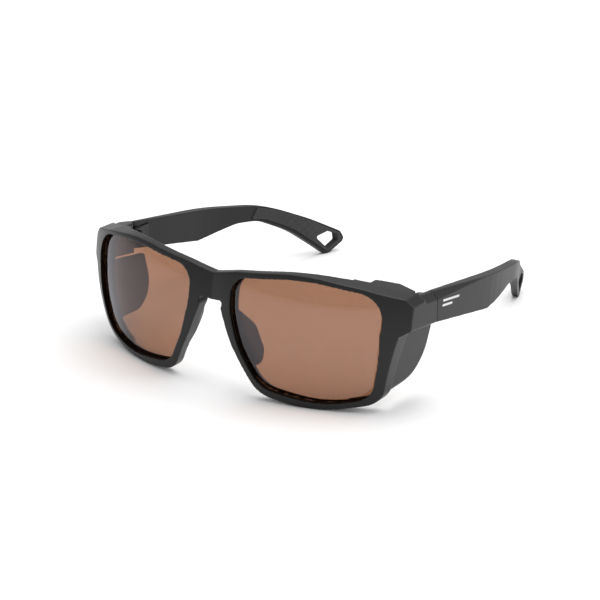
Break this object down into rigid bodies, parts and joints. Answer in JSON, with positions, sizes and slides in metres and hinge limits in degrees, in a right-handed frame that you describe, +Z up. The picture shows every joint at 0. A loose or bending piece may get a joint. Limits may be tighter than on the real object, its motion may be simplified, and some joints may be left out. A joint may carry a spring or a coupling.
{
  "type": "glacier glasses",
  "caption": "Wraparound sunglasses with tinted lenses, clip-on side shields, nose pads and folding temples with lanyard holes.",
  "frame": {"origin": "on the table, under the middle of the open glasses", "axes": "+X to the wearer's left, +Y from the lenses to the temple tips, +Z up from the table the glasses stand on"},
  "size_m": [0.1444, 0.1596, 0.0507],
  "materials": {
    "frame": "matt, finely speckled",
    "lens": "polished copper tint",
    "pad": "matt",
    "shield": "matt",
    "grip": "ribbed, matt",
    "hinge": "black plated, satin",
    "screw": "black plated, worn",
    "washer": "plain"
  },
  "bodies": {
    "front": {"front_frame": "frame", "lens_left": "lens", "lens_right": "lens", "nose_pad_left": "pad", "nose_pad_right": "pad", "side_shield_left": "shield", "side_shield_right": "shield", "hinge_front_leaf_left": "hinge", "hinge_front_leaf_right": "hinge"},
    "temple_arm_left": {"temple_left": "frame", "temple_grip_left": "grip", "hinge_temple_leaf_left": "hinge", "hinge_screw_left": "screw", "hinge_washers_left": "washer"},
    "temple_arm_right": {"temple_right": "frame", "temple_grip_right": "grip", "hinge_temple_leaf_right": "hinge", "hinge_screw_right": "screw", "hinge_washers_right": "washer"}
  },
  "joints": [
    {"name": "temple_fold_left", "type": "hinge", "parent": "front", "child": "temple_arm_left", "pos_m": [0.0649, -0.03972, 0.03575], "axis": [0, 0, 1], "range_deg": [0, 88]},
    {"name": "temple_fold_right", "type": "hinge", "parent": "front", "child": "temple_arm_right", "pos_m": [-0.0649, -0.03972, 0.03575], "axis": [0, 0, -1], "range_deg": [0, 76]}
  ]
}
